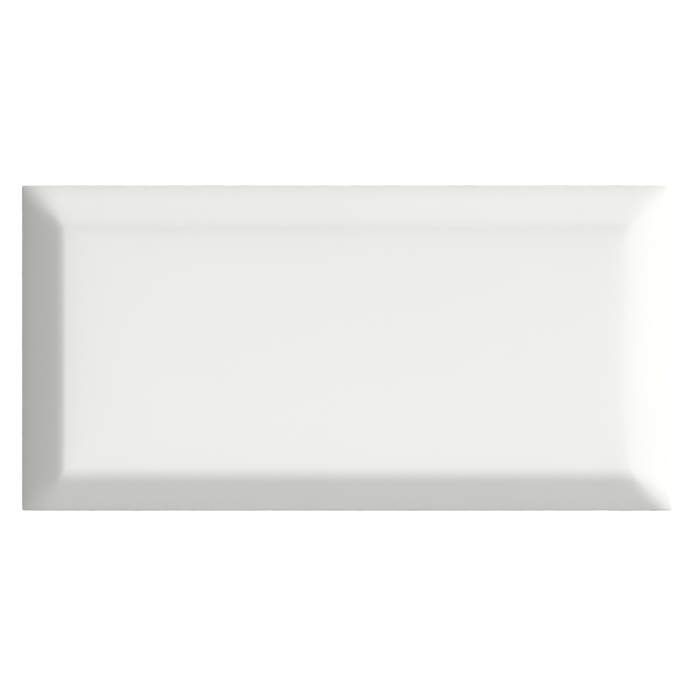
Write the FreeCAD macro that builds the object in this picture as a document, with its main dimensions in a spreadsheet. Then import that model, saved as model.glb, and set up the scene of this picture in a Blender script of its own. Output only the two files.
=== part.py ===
"""Bevelled ceramic wall tile, one pressed and fired piece.

The tile lies on its back. The origin is the middle of the flat back, +X runs along
the long side, +Y along the short side and +Z out of the glazed face. Millimetres.

    z = tile_thickness   flat face
                         soft crease round the face (crease_radius)
                         four sloping bevels, bevel_width wide in plan,
                         that meet at softly rounded hips (hip_radius)
    z = edge_height      where the bevels would meet the sides, eased by arris_radius
                         four upright sides, edge_height tall
    z = 0                flat back, with a small chamfer round it
"""

import FreeCAD, Part
import Sketcher
import os

NODE = "subway_tile"

doc = FreeCAD.newDocument("BevelledTile")

# --- driving dimensions ------------------------------------------------------------
sheet = doc.addObject("Spreadsheet::Sheet", "Sizes")
SIZES = [
    ("tile_length", 150.0, "long side of the tile"),
    ("tile_width", 75.0, "short side of the tile"),
    ("tile_thickness", 8.0, "back to flat face"),
    ("edge_height", 3.6, "height of the upright sides, to the bevel's lower line"),
    ("bevel_width", 9.4, "bevel in plan, from the side to the middle of the crease"),
    ("crease_radius", 9.0, "soft crease between the face and the bevels"),
    ("hip_radius", 4.0, "rounding of the mitre between two bevels"),
    ("corner_radius", 0.7, "upright corners, seen from above"),
    ("arris_radius", 0.6, "eased edge between the bevels and the sides"),
    ("back_chamfer", 0.5, "chamfer round the back"),
]
for row, (alias, value, note) in enumerate(SIZES, start=1):
    sheet.set("A%d" % row, alias)
    sheet.set("B%d" % row, repr(value))
    sheet.setAlias("B%d" % row, alias)
    sheet.set("C%d" % row, note)
doc.recompute()


def size(alias):
    return float(getattr(sheet, alias))


L, W, T, H = (size(a) for a in ("tile_length", "tile_width", "tile_thickness", "edge_height"))
B = size("bevel_width")
EPS = 1e-3


# --- helpers -----------------------------------------------------------------------
def plane(body, role):
    for feature in body.Origin.OriginFeatures:
        if feature.Role == role:
            return feature
    raise RuntimeError("no origin plane " + role)


def edges_where(feature, test, count):
    """Names of the feature's edges whose bounding box passes the test."""
    found = [
        "Edge%d" % i
        for i, e in enumerate(feature.Shape.Edges, start=1)
        if test(e.BoundBox)
    ]
    if len(found) != count:
        raise SystemExit(
            "%s: %d edges found where %d are meant" % (feature.Name, len(found), count)
        )
    return found


def fillet(body, name, base, edges, radius):
    feature = body.newObject("PartDesign::Fillet", name)
    feature.Base = (base, edges)
    feature.setExpression("Radius", "Sizes." + radius)
    doc.recompute()
    return feature


# --- the tile ----------------------------------------------------------------------
body = doc.addObject("PartDesign::Body", "Tile")
body.Label = NODE

# the outline, a rectangle centred on the origin
outline = body.newObject("Sketcher::SketchObject", "Outline")
outline.AttachmentSupport = [(plane(body, "XY_Plane"), "")]
outline.MapMode = "FlatFace"
V = FreeCAD.Vector
ring = [V(-L / 2, -W / 2, 0), V(L / 2, -W / 2, 0), V(L / 2, W / 2, 0), V(-L / 2, W / 2, 0)]
for i in range(4):
    outline.addGeometry(Part.LineSegment(ring[i], ring[(i + 1) % 4]), False)
C = Sketcher.Constraint
for i in range(4):
    outline.addConstraint(C("Coincident", i, 2, (i + 1) % 4, 1))
for i in (0, 2):
    outline.addConstraint(C("Horizontal", i))
for i in (1, 3):
    outline.addConstraint(C("Vertical", i))
outline.addConstraint(C("Symmetric", 0, 1, 1, 2, -1, 1))
n = outline.addConstraint(C("DistanceX", 0, 1, 0, 2, L))
outline.setExpression("Constraints[%d]" % n, "Sizes.tile_length")
n = outline.addConstraint(C("DistanceY", 1, 1, 1, 2, W))
outline.setExpression("Constraints[%d]" % n, "Sizes.tile_width")

# the slab, back to face
slab = body.newObject("PartDesign::Pad", "Slab")
slab.Profile = outline
slab.setExpression("Length", "Sizes.tile_thickness")
doc.recompute()

# the four bevels
bevels = body.newObject("PartDesign::Chamfer", "Bevels")
bevels.Base = (slab, edges_where(slab, lambda b: b.ZMin > T - EPS, 4))
bevels.ChamferType = "Two distances"
bevels.setExpression("Size", "Sizes.bevel_width")
bevels.setExpression("Size2", "Sizes.tile_thickness - Sizes.edge_height")
doc.recompute()


def flat_face_ok():
    tops = [f.BoundBox for f in bevels.Shape.Faces if f.BoundBox.ZMin > T - EPS]
    return (
        len(tops) == 1
        and abs(tops[0].XLength - (L - 2 * B)) < EPS
        and abs(tops[0].YLength - (W - 2 * B)) < EPS
    )


if not flat_face_ok():
    bevels.FlipDirection = True
    doc.recompute()
if not flat_face_ok():
    raise SystemExit("the bevels leave the wrong flat face")

# the soft crease round the flat face
crease = fillet(
    body, "Crease", bevels, edges_where(bevels, lambda b: b.ZMin > T - EPS, 4), "crease_radius"
)

# the hips: the mitres between the bevels, run on through the crease
hips = fillet(
    body, "Hips", crease,
    edges_where(
        crease,
        lambda b: b.ZMax > H + 0.5 and b.ZLength > 0.05 and b.XLength > 0.5 and b.YLength > 0.5,
        8,
    ),
    "hip_radius",
)

# the four upright corners
corners = fillet(
    body, "Corners", hips,
    edges_where(hips, lambda b: b.ZMin < EPS and b.ZMax > H / 2, 4),
    "corner_radius",
)

# the eased edge between the bevels and the sides, all the way round
arris = fillet(
    body, "Arris", corners,
    edges_where(corners, lambda b: b.ZMin > H / 2 and b.ZMax < H + EPS, 16),
    "arris_radius",
)

# the chamfer round the back
back = body.newObject("PartDesign::Chamfer", "BackChamfer")
back.Base = (arris, edges_where(arris, lambda b: b.ZMax < EPS, 8))
back.setExpression("Size", "Sizes.back_chamfer")
body.Tip = back
doc.recompute()

# --- checks, then the file ---------------------------------------------------------
problems = []
for obj in doc.Objects:
    state = [s for s in obj.State if s in ("Invalid", "Error")]
    if state:
        problems.append("%s is %s" % (obj.Name, state))
shape = body.Shape
if shape.isNull() or not shape.isValid() or len(shape.Solids) != 1:
    problems.append("the tile is not one valid solid")
box = shape.optimalBoundingBox()
for name, got, want in (
    ("length", box.XLength, L),
    ("width", box.YLength, W),
    ("thickness", box.ZLength, T),
):
    if abs(got - want) > 0.01:
        problems.append("%s is %.3f, not %.3f" % (name, got, want))
steps = [
    (f.Name, f.Shape.Volume) for f in (slab, bevels, crease, hips, corners, arris, back)
]
for (a, va), (b, vb) in zip(steps, steps[1:]):
    if not vb < va - 0.1:
        problems.append("%s took nothing off after %s" % (b, a))
if problems:
    raise SystemExit("; ".join(problems))

os.makedirs("parts", exist_ok=True)
shape.exportStep(os.path.join("parts", body.Label + ".step"))
print("volume cm3: " + ", ".join("%s %.3f" % (n, v / 1000.0) for n, v in steps))
print("box mm: %.2f x %.2f x %.2f, z from %.3f" % (box.XLength, box.YLength, box.ZLength, box.ZMin))
print("faces %d, edges %d" % (len(shape.Faces), len(shape.Edges)))
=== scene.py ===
import math

import bpy
import numpy as np
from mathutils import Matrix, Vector, noise


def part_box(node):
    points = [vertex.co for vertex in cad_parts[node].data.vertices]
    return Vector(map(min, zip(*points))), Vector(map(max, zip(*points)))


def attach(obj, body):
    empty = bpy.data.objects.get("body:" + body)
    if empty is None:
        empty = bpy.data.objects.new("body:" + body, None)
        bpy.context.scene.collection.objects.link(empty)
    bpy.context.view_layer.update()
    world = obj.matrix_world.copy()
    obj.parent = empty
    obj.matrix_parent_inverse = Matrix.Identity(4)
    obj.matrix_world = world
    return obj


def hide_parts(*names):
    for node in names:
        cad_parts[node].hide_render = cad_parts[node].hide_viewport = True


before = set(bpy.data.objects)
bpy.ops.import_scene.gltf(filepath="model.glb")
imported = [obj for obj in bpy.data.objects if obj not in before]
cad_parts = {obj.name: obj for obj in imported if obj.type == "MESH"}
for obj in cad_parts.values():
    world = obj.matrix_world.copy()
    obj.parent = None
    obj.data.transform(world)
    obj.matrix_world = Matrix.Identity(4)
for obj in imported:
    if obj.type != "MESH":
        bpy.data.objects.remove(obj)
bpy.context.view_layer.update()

NODE = "subway_tile"
MM = 0.001

# ------------------------------------------------------------------ sizes, millimetres
lo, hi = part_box(NODE)
HALF_L = (hi.x - lo.x) / 2 / MM          # half the long side
HALF_W = (hi.y - lo.y) / 2 / MM          # half the short side
TOP = hi.z / MM                          # flat face above the back
EDGE = 3.6                               # foot of the bevels, on the whole
CROWN = 0.3                              # the long sides stand this much higher, the ends lower
BEVEL = 9.4                              # bevel in plan, to the middle of the crease
HIP, HIP_RUN = 2.07, 1.4                 # blend along the mitres, and how soon it opens out from the crease
CORNER_R = 0.45                          # upright corners
ARRIS_R = 0.6                            # eased edge between bevel and side
CHAMFER = 0.5                            # round the back
RIM = 0.8                                # where the face's grid hands over to the side's rings
SPREAD = 1.5                             # stretch near the corners, so the rings can turn

SECTION_D = np.linspace(-2.0, HALF_W, 20001)


def section(edge, bend, pillow, shoulder, fade):
    """Heights over SECTION_D, the distance in from the side, of a bevel with its foot at height edge.

    The slope is the same over the bevel, but for a little more at its foot (pillow), turns to
    the face over the crease (bend, from and to) and leaves a slight fall there (shoulder) that
    fades out over the face.
    """
    turned = np.clip((SECTION_D - bend[0]) / (bend[1] - bend[0]), 0, 1)
    extra = pillow * (1 - SECTION_D / BEVEL) * (1 - turned)
    extra += shoulder * turned * np.exp(-np.clip(SECTION_D - bend[1], 0, None) / fade)
    inside = SECTION_D >= 0
    fall = [np.trapz(v[inside], SECTION_D[inside]) for v in (extra, 1 - turned)]
    slope = (TOP - edge - fall[0]) / fall[1] * (1 - turned) + extra
    rise = np.concatenate([[0], np.cumsum((slope[1:] + slope[:-1]) / 2 * np.diff(SECTION_D))])
    return TOP + rise - rise[-1]


# the four sides as fired: the crease is a little softer or further in from one to the next
LEFT_Z = section(EDGE - CROWN, (8.11, 10.49), 0.141, 0.074, 5.6)
RIGHT_Z = section(EDGE - CROWN, (8.77, 13.16), 0.206, 0.025, 1.3)
NEAR_Z = section(EDGE + CROWN, (6.54, 10.28), 0.067, 0.046, 8.0)
FAR_Z = section(EDGE + CROWN, (8.30, 10.90), 0.100, 0.080, 2.7)
FOOT_TILT = math.atan((TOP - EDGE) / BEVEL + 0.08)


def surface(x, y):
    """Height of the glazed surface over the plan, before the arris."""
    def across(d, beyond, this, that):
        return np.where(beyond, np.interp(d, SECTION_D, this), np.interp(d, SECTION_D, that))

    end = across(HALF_L - np.abs(x), x > 0, RIGHT_Z, LEFT_Z)
    long = across(HALF_W - np.abs(y), y > 0, FAR_Z, NEAR_Z)
    low = np.minimum(end, long)
    # the mitres are rounded: sharp at the face, wider and wider down to the corner
    blend = HIP * (1 - np.exp((low - TOP) / HIP_RUN)) + 1e-6
    return low - blend / 4 * np.clip(1 - np.abs(end - long) / blend, 0, None) ** 2


def wave(x, y, scale, seed):
    """Smooth noise over the plan, about -1 to 1, scale is its wavelength in mm."""
    return np.array([
        noise.noise(Vector((a / scale, b / scale, seed)))
        for a, b in zip(np.ravel(x), np.ravel(y))
    ]).reshape(np.shape(x))


# ------------------------------------------------------------------ the tile's mesh
def lines(half):
    """Grid lines across one axis: close together by the side and in the crease."""
    d = [RIM]

    def run(to, step):
        start = d[-1]
        n = max(1, round((to - start) / step))
        d.extend(start + (to - start) * (i + 1) / n for i in range(n))

    run(RIM + 0.64, 0.08)
    run(2.4, 0.24)
    run(7.2, 0.48)
    run(11.6, 0.27)
    run(13.4, 0.45)
    n = round((half - 13.4) / 0.95)
    d.extend(13.4 + (half - 13.4) * (i + 1) / n for i in range(n))
    left = [-(half - v) for v in d]
    return np.array(left + [-v for v in left[-2::-1]])


xs, ys = lines(HALF_L), lines(HALF_W)
NX, NY = len(xs), len(ys)
GX, GY = np.meshgrid(xs, ys, indexing="ij")

dx, dy = HALF_L - np.abs(GX), HALF_W - np.abs(GY)
top_z = surface(GX, GY)
# the fired glaze is never quite flat: long shallow waves, a few hundredths of a millimetre
calm = np.clip((np.minimum(dx, dy) - 0.2) / 6.0, 0.15, 1.0)
ripple = 0.010 * wave(GX, GY, 21.0, 3.1) + 0.005 * wave(GX, GY, 8.5, 7.7)
top_z = top_z + calm * ripple - 0.012

# the loop of grid points that the side's rings hang from, anticlockwise from a corner
loop = (
    [(i, 0) for i in range(NX)]
    + [(NX - 1, j) for j in range(1, NY)]
    + [(i, NY - 1) for i in range(NX - 2, -1, -1)]
    + [(0, j) for j in range(NY - 2, 0, -1)]
)
P = len(loop)
LI = np.array([a for a, _ in loop])
LJ = np.array([b for _, b in loop])
lx, ly = xs[LI], ys[LJ]
# distance to the nearest corner along the loop, and whether the point is on a long side
on_long = (LJ == 0) | (LJ == NY - 1)
along = np.where(on_long, (HALF_L - RIM) - np.abs(lx), (HALF_W - RIM) - np.abs(ly))


def ring_xy(d):
    """Plan positions of the loop moved out to an inset d (one value or one for each point)."""
    d = np.broadcast_to(np.asarray(d, float), (P,))
    r = np.clip(CORNER_R - d, 0, None)
    arc = r * math.pi / 4
    half = np.where(on_long, HALF_L, HALF_W)
    other = np.where(on_long, HALF_W, HALF_L)
    turn = half - np.maximum(d, CORNER_R)           # where the corner's arc starts
    straight = turn - (half - RIM - SPREAD)
    sigma = along * (arc + straight) / SPREAD
    u = np.where(along >= SPREAD, half - RIM - along, turn - (sigma - arc))
    v = other - d
    on_arc = (along < SPREAD) & (sigma < arc) & (r > 1e-9)
    ang = math.pi / 4 - sigma / np.maximum(r, 1e-9)
    u = np.where(on_arc, half - CORNER_R + r * np.sin(ang), u)
    v = np.where(on_arc, other - CORNER_R + r * np.cos(ang), v)
    u = u * np.sign(np.where(on_long, lx, ly))
    v = v * np.sign(np.where(on_long, ly, lx))
    # a corner point is the same whichever side it is reached from
    x = np.where(on_long, u, v)
    y = np.where(on_long, v, u)
    return x, y


edge_x, edge_y = ring_xy(0.0)
# where the glaze ends on the side: an uneven line, with a run here and there
glaze_end = (
    2.30
    + 0.30 * wave(edge_x, edge_y, 13.0, 11.3)
    + 0.14 * wave(edge_x, edge_y, 3.6, 5.9)
    - 1.5 * np.clip(wave(edge_x, edge_y, 9.0, 23.7) - 0.42, 0, None)
)


def thinned(d):
    """How much the glaze is darkened, 0 to 1, partly for glaze run thin and partly as painted shade: a little by the
    foot of the bevels, most on the arris.
    """
    return 0.34 * np.exp(-(d / 2.2) ** 2) + 0.22 * np.exp(-(d / 0.5) ** 2)


verts, glaze_mm, thin = [], [], []
grid_id = np.arange(NX * NY).reshape(NX, NY)
verts.append(np.stack([GX.ravel(), GY.ravel(), top_z.ravel()], 1))
glaze_mm.append(np.full(NX * NY, 3.0))
thin.append(thinned(np.minimum(dx, dy)).ravel())

rings = [grid_id[LI, LJ]]
ring_v = [np.zeros(P)]                   # distance down the side, for the unwrapping
ring_kind = ["top"]
rim_ripple = (calm * ripple)[LI, LJ] - 0.012


def add_ring(x, y, z, g, t, kind):
    base = sum(len(v) for v in verts)
    verts.append(np.stack([x, y, z], 1))
    glaze_mm.append(np.broadcast_to(g, (P,)).astype(float))
    thin.append(np.broadcast_to(t, (P,)).astype(float))
    rings.append(base + np.arange(P))
    ring_kind.append(kind)


foot_d = ARRIS_R * (1 - math.sin(FOOT_TILT))
for d in (0.66, 0.52, 0.40, foot_d):
    x, y = ring_xy(d)
    add_ring(x, y, surface(x, y) + rim_ripple, 3.0, thinned(d), "top")
arris_z = surface(x, y) + rim_ripple - ARRIS_R * math.cos(FOOT_TILT)
ARC_N = 9
for k in range(1, ARC_N + 1):
    tilt = FOOT_TILT + (math.pi / 2 - FOOT_TILT) * k / ARC_N
    x, y = ring_xy(ARRIS_R * (1 - math.sin(tilt)))
    z = arris_z + ARRIS_R * math.cos(tilt)
    # thin glaze with painted shade on the arris: full on its upper part, a little less lower down
    add_ring(x, y, z, np.clip(z - glaze_end, -3, 3), 1.0 if tilt < 1.2 else 0.85, "top")
SIDE_N = 22
ease = 0.06
for k in range(1, SIDE_N + 1):
    z = arris_z + (CHAMFER + ease - arris_z) * k / SIDE_N
    g = z - glaze_end
    # the glaze stands a little proud of the body and ends in a rounded lip
    bare = np.clip((0.10 - g) / 0.34, 0, 1)
    bare = bare * bare * (3 - 2 * bare)
    lip = np.exp(-((g - 0.22) / 0.2) ** 2)
    grain = wave(edge_x + 3.0 * z, edge_y + 3.0 * z, 1.7, 31.0)
    fade = min(1.0, k / 4.0)
    x, y = ring_xy(fade * (0.035 * (1 - lip) + bare * (0.085 + 0.02 * grain)))
    # the thinning and its painted shade fade out down the side
    add_ring(x, y, z, g, 0.85 * math.exp(-((k / SIDE_N) / 0.22) ** 2), "side")
in_side = 0.12
for d, z in ((in_side + 0.02, CHAMFER), (in_side + 0.20, 0.30), (in_side + 0.40, 0.10), (in_side + 0.48, 0.03),
             (in_side + 0.56, 0.0)):
    x, y = ring_xy(d)
    nick = 0.02 * wave(edge_x, edge_y, 2.3, 41.0) if z > 0.2 else 0.0
    add_ring(x, y, np.full(P, z) + nick, -3.0, 0.0, "side")

# the back: the same grid lines, with shallow lengthwise key grooves inside a plain border
from_side = np.minimum(HALF_L - np.abs(GX), HALF_W - np.abs(GY))
border = np.clip((from_side - 5.0) / 1.2, 0, 1)
pitch = 8.0
across = np.abs(((GY / pitch) % 1.0) - 0.5) * pitch          # 0 in the middle of a groove
groove = np.clip((2.9 - across) / 0.9, 0, 1)
back_z = 0.4 * border * groove
back_base = sum(len(v) for v in verts)
verts.append(np.stack([GX.ravel(), GY.ravel(), back_z.ravel()], 1))
glaze_mm.append(np.full(NX * NY, -3.0))
thin.append(np.zeros(NX * NY))
back_id = back_base + np.arange(NX * NY).reshape(NX, NY)
rings.append(back_id[LI, LJ])
ring_kind.append("back")

verts = np.concatenate(verts) * MM
glaze_mm = np.concatenate(glaze_mm).astype(np.float32)
thin = np.concatenate(thin)
# painted light: the thinning and its painted shade are mostly taken off along the right end, where the light falls, so
# that end stays lighter
thin *= 1 - 0.8 * np.clip((verts[:, 0] / MM - HALF_L + 3.0) / 2.0, 0, 1)
thin = thin.astype(np.float32)

# faces, with a place for each in the unwrapping
faces, uvs = [], []
SHEET = 178.0                                                # mm across the whole sheet
MARGIN = 3.0


def top_uv(i):
    return ((verts[i, 0] / MM + HALF_L + MARGIN) / SHEET, (verts[i, 1] / MM + HALF_W + MARGIN) / SHEET)


def back_uv(i):
    return (
        (HALF_L - verts[i, 0] / MM + MARGIN) / SHEET,
        (verts[i, 1] / MM + HALF_W + MARGIN + 2 * HALF_W + MARGIN) / SHEET,
    )


for i in range(NX - 1):
    for j in range(NY - 1):
        f = (grid_id[i, j], grid_id[i + 1, j], grid_id[i + 1, j + 1], grid_id[i, j + 1])
        faces.append(f)
        uvs.extend(top_uv(v) for v in f)
# running length round each side, from corner to corner, for the strips of the unwrapping
step = np.hypot(np.roll(edge_x, -1) - edge_x, np.roll(edge_y, -1) - edge_y)
corners = [0, NX - 1, NX + NY - 2, 2 * NX + NY - 3, P]
strip_place = [
    (MARGIN, 4 * HALF_W + 3 * MARGIN),
    (MARGIN, 4 * HALF_W + 3 * MARGIN + 7.0),
    (MARGIN, 4 * HALF_W + 3 * MARGIN + 14.0),
    (MARGIN + 2 * HALF_W + MARGIN, 4 * HALF_W + 3 * MARGIN + 7.0),
]
side_of = np.zeros(P, int)
run_at = np.zeros(P)
for s in range(4):
    total = 0.0
    for p in range(corners[s], corners[s + 1]):
        side_of[p] = s
        run_at[p] = total
        total += step[p]
for k in range(len(rings) - 1):
    a, b = rings[k], rings[k + 1]
    kind = ring_kind[k + 1]
    for p in range(P):
        q = (p + 1) % P
        f = (a[p], b[p], b[q], a[q])
        faces.append(f)
        if kind == "top":
            uvs.extend(top_uv(v) for v in f)
        elif kind == "back":
            uvs.extend(back_uv(v) for v in f)
        else:
            px, py = strip_place[side_of[p]]
            for v, at in ((a[p], run_at[p]), (b[p], run_at[p]), (b[q], run_at[p] + step[p]), (a[q], run_at[p] + step[p])):
                uvs.append(((px + at) / SHEET, (py + verts[v, 2] / MM) / SHEET))
for i in range(NX - 1):
    for j in range(NY - 1):
        f = (back_id[i, j], back_id[i, j + 1], back_id[i + 1, j + 1], back_id[i + 1, j])
        faces.append(f)
        uvs.extend(back_uv(v) for v in f)

mesh = bpy.data.meshes.new("glazed_tile")
mesh.from_pydata(verts.tolist(), [], [tuple(int(v) for v in f) for f in faces])
mesh.update()
uv = mesh.uv_layers.new(name="OFBake")
uv.data.foreach_set("uv", np.array(uvs, np.float32).ravel())
mesh.polygons.foreach_set("use_smooth", np.ones(len(mesh.polygons), bool))
for name, values in (("glaze_mm", glaze_mm), ("thin", thin)):
    mesh.attributes.new(name, "FLOAT", "POINT").data.foreach_set("value", values)
mesh.validate()
tile = bpy.data.objects.new("glazed_tile", mesh)
bpy.context.scene.collection.objects.link(tile)


# ------------------------------------------------------------------ materials
def new_material(name):
    mat = bpy.data.materials.new(name)
    mat.use_nodes = True
    mat.node_tree.nodes.clear()
    return mat, mat.node_tree.nodes, mat.node_tree.links


def add(nodes, kind, **settings):
    node = nodes.new(kind)
    for key, value in settings.items():
        if key.startswith("in_"):
            node.inputs[key[3:].replace("_", " ")].default_value = value
        else:
            setattr(node, key, value)
    return node


def math_node(nodes, links, op, a, b=None, clamp=False):
    node = nodes.new("ShaderNodeMath")
    node.operation = op
    node.use_clamp = clamp
    for k, v in enumerate((a, b)):
        if v is None:
            continue
        if isinstance(v, (int, float)):
            node.inputs[k].default_value = v
        else:
            links.new(v, node.inputs[k])
    return node.outputs[0]


def mix_colour(nodes, links, factor, a, b):
    node = nodes.new("ShaderNodeMix")
    node.data_type = "RGBA"
    if isinstance(factor, (int, float)):
        node.inputs["Factor"].default_value = factor
    else:
        links.new(factor, node.inputs["Factor"])
    for socket, v in ((node.inputs[6], a), (node.inputs[7], b)):
        if isinstance(v, tuple):
            socket.default_value = v
        else:
            links.new(v, socket)
    return node.outputs[2]


def noise_tex(nodes, links, coords, scale, detail=2.0, rough=0.5):
    node = nodes.new("ShaderNodeTexNoise")
    node.inputs["Scale"].default_value = scale
    node.inputs["Detail"].default_value = detail
    node.inputs["Roughness"].default_value = rough
    links.new(coords, node.inputs["Vector"])
    return node.outputs[0]


def remap(nodes, links, value, a, b, c, d):
    node = nodes.new("ShaderNodeMapRange")
    links.new(value, node.inputs["Value"])
    for k, v in zip(("From Min", "From Max", "To Min", "To Max"), (a, b, c, d)):
        node.inputs[k].default_value = v
    return node.outputs[0]


mat, N, LK = new_material("fired_white_ware")
out = N.new("ShaderNodeOutputMaterial")
bsdf = N.new("ShaderNodeBsdfPrincipled")
LK.new(bsdf.outputs[0], out.inputs["Surface"])
bsdf.inputs["IOR"].default_value = 1.5
coords = N.new("ShaderNodeTexCoord").outputs["Object"]

glaze_attr = add(N, "ShaderNodeAttribute", attribute_name="glaze_mm").outputs["Fac"]
thin_attr = add(N, "ShaderNodeAttribute", attribute_name="thin").outputs["Fac"]

# 1 on the glaze, 0 on the bare body
ragged = noise_tex(N, LK, coords, 1500.0, 3.0, 0.6)
ragged = remap(N, LK, ragged, 0.3, 0.7, -0.14, 0.14)
glazed = math_node(N, LK, "ADD", glaze_attr, ragged)
glazed = remap(N, LK, glazed, -0.10, 0.10, 0.0, 1.0)

# the glaze: white with the faintest warmth, and a slow drift where it lies thicker
cloud = noise_tex(N, LK, coords, 26.0, 2.0, 0.5)
cloud = remap(N, LK, cloud, 0.3, 0.7, 0.0, 1.0)
glaze_col = mix_colour(N, LK, cloud, (0.838, 0.840, 0.818, 1), (0.850, 0.852, 0.835, 1))
# thin glaze along the arris lets the body show through a little; the same darker mix is also painted shade by the foot
# of the bevels and on the arris, and is lighter along the right end where the light falls
thin_and_shade_mix = noise_tex(N, LK, coords, 150.0, 2.0, 0.5)
thin_and_shade_mix = remap(N, LK, thin_and_shade_mix, 0.35, 0.65, 0.88, 1.0)
thin_and_shade_mix = math_node(N, LK, "MULTIPLY", thin_and_shade_mix, thin_attr)
glaze_col = mix_colour(N, LK, thin_and_shade_mix, glaze_col, (0.655, 0.648, 0.616, 1))

# the bare body: pale, dry and grainy, with a few darker specks
grain = noise_tex(N, LK, coords, 2600.0, 4.0, 0.65)
blotch = noise_tex(N, LK, coords, 130.0, 3.0, 0.55)
body_col = mix_colour(N, LK, remap(N, LK, grain, 0.3, 0.7, 0.0, 1.0), (0.56, 0.525, 0.465, 1), (0.68, 0.650, 0.595, 1))
body_col = mix_colour(N, LK, remap(N, LK, blotch, 0.35, 0.7, 0.0, 0.45), body_col, (0.63, 0.585, 0.515, 1))
speck = noise_tex(N, LK, coords, 1100.0, 1.0, 0.5)
body_col = mix_colour(N, LK, remap(N, LK, speck, 0.70, 0.76, 0.0, 0.55), body_col, (0.36, 0.31, 0.25, 1))

LK.new(mix_colour(N, LK, glazed, body_col, glaze_col), bsdf.inputs["Base Color"])

gloss = noise_tex(N, LK, coords, 60.0, 3.0, 0.55)
gloss = remap(N, LK, gloss, 0.3, 0.7, 0.06, 0.10)
dry = math_node(N, LK, "MULTIPLY", math_node(N, LK, "SUBTRACT", 1.0, glazed), 0.76)
LK.new(math_node(N, LK, "ADD", gloss, dry), bsdf.inputs["Roughness"])

# relief: a fine orange peel in the glaze, sandy grain on the body
peel = noise_tex(N, LK, coords, 620.0, 2.0, 0.45)
bump_peel = add(N, "ShaderNodeBump", in_Strength=1.0, in_Distance=1.6e-6)
LK.new(peel, bump_peel.inputs["Height"])
sand = math_node(N, LK, "MULTIPLY", math_node(N, LK, "SUBTRACT", 1.0, glazed), grain)
bump_sand = add(N, "ShaderNodeBump", in_Strength=1.0, in_Distance=1.1e-4)
LK.new(sand, bump_sand.inputs["Height"])
LK.new(bump_peel.outputs[0], bump_sand.inputs["Normal"])
LK.new(bump_sand.outputs[0], bsdf.inputs["Normal"])
mesh.materials.append(mat)

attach(tile, "root")
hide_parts(NODE)

# ------------------------------------------------------------------ floor
floor_mesh = bpy.data.meshes.new("floor")
F = 7.0
WALL = 0.79                              # how bright the walls look, beyond the floor
floor_mesh.from_pydata([(-F, -F, 0), (F, -F, 0), (F, F, 0), (-F, F, 0)], [], [(0, 1, 2, 3)])
floor = bpy.data.objects.new("floor", floor_mesh)
floor.location = (0, 0, -0.00004)
bpy.context.scene.collection.objects.link(floor)
fmat, FN, FL = new_material("floor_paper")
fout = FN.new("ShaderNodeOutputMaterial")
fb = FN.new("ShaderNodeBsdfPrincipled")
fb.inputs["Base Color"].default_value = (0.30, 0.30, 0.30, 1)
fb.inputs["Roughness"].default_value = 0.9
fb.inputs["Specular IOR Level"].default_value = 0.0
# far off it runs into the walls without a seam
far = FN.new("ShaderNodeEmission")
far.inputs["Strength"].default_value = WALL
away = FN.new("ShaderNodeVectorMath")
away.operation = "LENGTH"
FL.new(FN.new("ShaderNodeTexCoord").outputs["Object"], away.inputs[0])
haze = FN.new("ShaderNodeMapRange")
haze.interpolation_type = "SMOOTHSTEP"
FL.new(math_node(FN, FL, "DIVIDE", 1.0, math_node(FN, FL, "ADD", away.outputs["Value"], 0.9)), haze.inputs["Value"])
for key, value in zip(("From Min", "From Max", "To Min", "To Max"), (0.75, 0.13, 0.0, 1.0)):
    haze.inputs[key].default_value = value
both = FN.new("ShaderNodeMixShader")
FL.new(haze.outputs[0], both.inputs[0])
FL.new(fb.outputs[0], both.inputs[1])
FL.new(far.outputs[0], both.inputs[2])
FL.new(both.outputs[0], fout.inputs["Surface"])
fmat.cycles.emission_sampling = "NONE"
floor_mesh.materials.append(fmat)

# ------------------------------------------------------------------ light
world = bpy.data.worlds.new("studio")
bpy.context.scene.world = world
world.use_nodes = True
WN, WL = world.node_tree.nodes, world.node_tree.links
WN.clear()
wout = WN.new("ShaderNodeOutputWorld")
wbg = WN.new("ShaderNodeBackground")
WL.new(wbg.outputs[0], wout.inputs["Surface"])
wdir = WN.new("ShaderNodeSeparateXYZ")
WL.new(WN.new("ShaderNodeTexCoord").outputs["Generated"], wdir.inputs[0])
# what the glaze reflects: pale walls all round that the far floor runs into, dim overhead
sky = WN.new("ShaderNodeMapRange")
sky.interpolation_type = "SMOOTHSTEP"
WL.new(wdir.outputs["Z"], sky.inputs["Value"])
for key, value in zip(("From Min", "From Max", "To Min", "To Max"), (0.16, 0.46, WALL, 0.05)):
    sky.inputs[key].default_value = value
WL.new(sky.outputs[0], wbg.inputs["Strength"])
wbg.inputs["Color"].default_value = (1, 1, 1, 1)
world.cycles_visibility.diffuse = False

only_floor = bpy.data.collections.new("only_floor")
only_floor.objects.link(floor)


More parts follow.
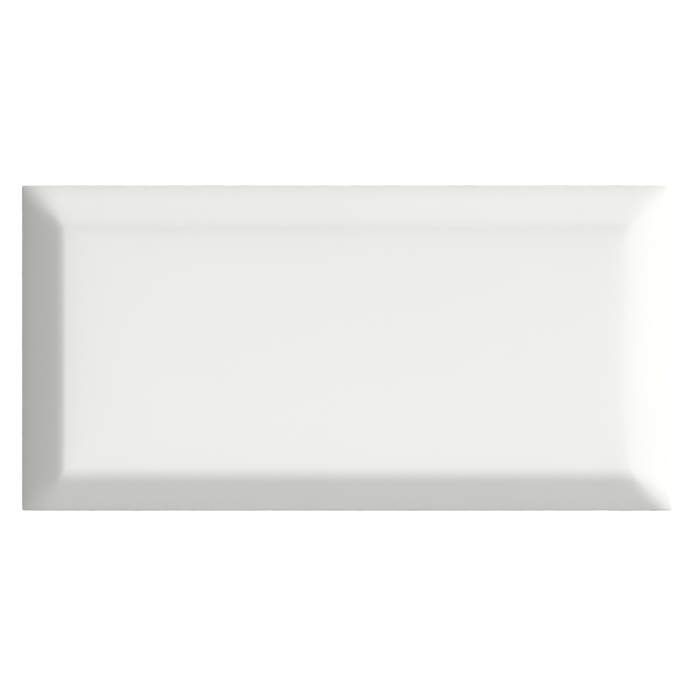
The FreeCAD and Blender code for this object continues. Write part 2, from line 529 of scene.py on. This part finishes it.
def softbox(name, at, size, feather, radiance, aim=None, tint=(1, 1, 1)):
    """A rectangular light with soft edges; radiance is how bright its middle looks.

    It faces straight down, or the point aim. feather is how much of the width fades out at the
    left, right, lower and upper edge.
    """
    data = bpy.data.lights.new(name, "AREA")
    data.shape = "RECTANGLE"
    data.size, data.size_y = size
    data.color = tint
    data.energy = radiance * math.pi * size[0] * size[1]
    data.use_nodes = True
    nodes, links = data.node_tree.nodes, data.node_tree.links
    nodes.clear()
    end = nodes.new("ShaderNodeOutputLight")
    glow = nodes.new("ShaderNodeEmission")
    links.new(glow.outputs[0], end.inputs[0])
    over = nodes.new("ShaderNodeSeparateXYZ")
    links.new(nodes.new("ShaderNodeNewGeometry").outputs["Parametric"], over.inputs[0])
    level = 1.0
    for axis, first, last in (("X", *feather[:2]), ("Y", *feather[2:])):
        for near, width in ((0.0, first), (1.0, -last)):
            fade = nodes.new("ShaderNodeMapRange")
            fade.interpolation_type = "SMOOTHSTEP"
            links.new(over.outputs[axis], fade.inputs["Value"])
            for k, v in zip(("From Min", "From Max", "To Min", "To Max"), (near, near + width, 0.0, 1.0)):
                fade.inputs[k].default_value = v
            level = math_node(nodes, links, "MULTIPLY", level, fade.outputs[0])
    links.new(level, glow.inputs["Strength"])
    light = bpy.data.objects.new(name, data)
    light.location = at
    if aim is not None:
        light.rotation_mode = "QUATERNION"
        light.rotation_quaternion = (Vector(aim) - Vector(at)).to_track_quat("-Z", "Y")
    light.visible_camera = False
    bpy.context.scene.collection.objects.link(light)
    return light


def off_vertical(across, up, away):
    """A place at a distance from the tile, at angles off the vertical towards +X and +Y."""
    way = Vector((math.tan(math.radians(across)), math.tan(math.radians(up)), 1.0))
    return way.normalized() * away


MIDDLE = (0, 0, 0.004)
softbox("over", (0.461, -0.4035, 1.30), (2.308, 1.911), (0.200, 0.80, 0.766, 0.380), 3.973)
softbox("key", off_vertical(63.585, 53.02, 3.4), (2.584, 2.584), (0.35,) * 4, 14.687, MIDDLE)


def around(bearing, rise, away):
    """A place at a distance from the tile, by its bearing from +X towards +Y and its angle up."""
    b, r = math.radians(bearing), math.radians(rise)
    return Vector((math.cos(r) * math.cos(b), math.cos(r) * math.sin(b), math.sin(r))) * away


# pale cards that only the gloss picks up: two that fade in across the face as it is seen from low
# down, and one for the near bevel as it is seen from above
for name, bearing, rise, size, radiance, fade, tint in (
    ("card_back", 152.5, 25, (2.0, 0.85), 2.3, (0.30, 0.60, 0.25, 0.25), (1, 1, 1)),
    ("card_front", 298, 14, (1.9, 0.85), 0.7, (0.30, 0.55, 0.25, 0.25), (1, 1, 1)),
    ("card_near", 270, 33, (2.4, 0.56), 2.0, (0.20, 0.20, 0.35, 0.35), (1, 1, 1)),
):
    softbox(name, around(bearing, rise, 2.4), size, fade, radiance, MIDDLE, tint).visible_diffuse = False

# an even wash on the floor alone, straight down, so that it is as pale far off as close by
wash_data = bpy.data.lights.new("wash", "SUN")
wash_data.energy = 0.88 / 0.30 * math.pi
wash_data.angle = math.radians(6)
wash = bpy.data.objects.new("wash", wash_data)
wash.location = (0, 0, 2)
wash.light_linking.receiver_collection = only_floor
bpy.context.scene.collection.objects.link(wash)

# ------------------------------------------------------------------ camera
LENS, SENSOR = 180.0, 36.0
FRAME_W = 0.16036                                             # metres across the frame
cam_data = bpy.data.cameras.new("camera")
cam_data.lens = LENS
cam_data.sensor_width = SENSOR
cam = bpy.data.objects.new("camera", cam_data)
cam.location = (0.00017, -0.00002, EDGE * MM + FRAME_W * LENS / SENSOR)
cam.rotation_euler = (0, 0, 0)
bpy.context.scene.collection.objects.link(cam)
bpy.context.scene.camera = cam
cam_data.clip_start, cam_data.clip_end = 0.01, 50.0

view = bpy.context.scene.view_settings
view.view_transform = "Standard"
view.look = "None"
view.exposure, view.gamma = 0.0, 1.0
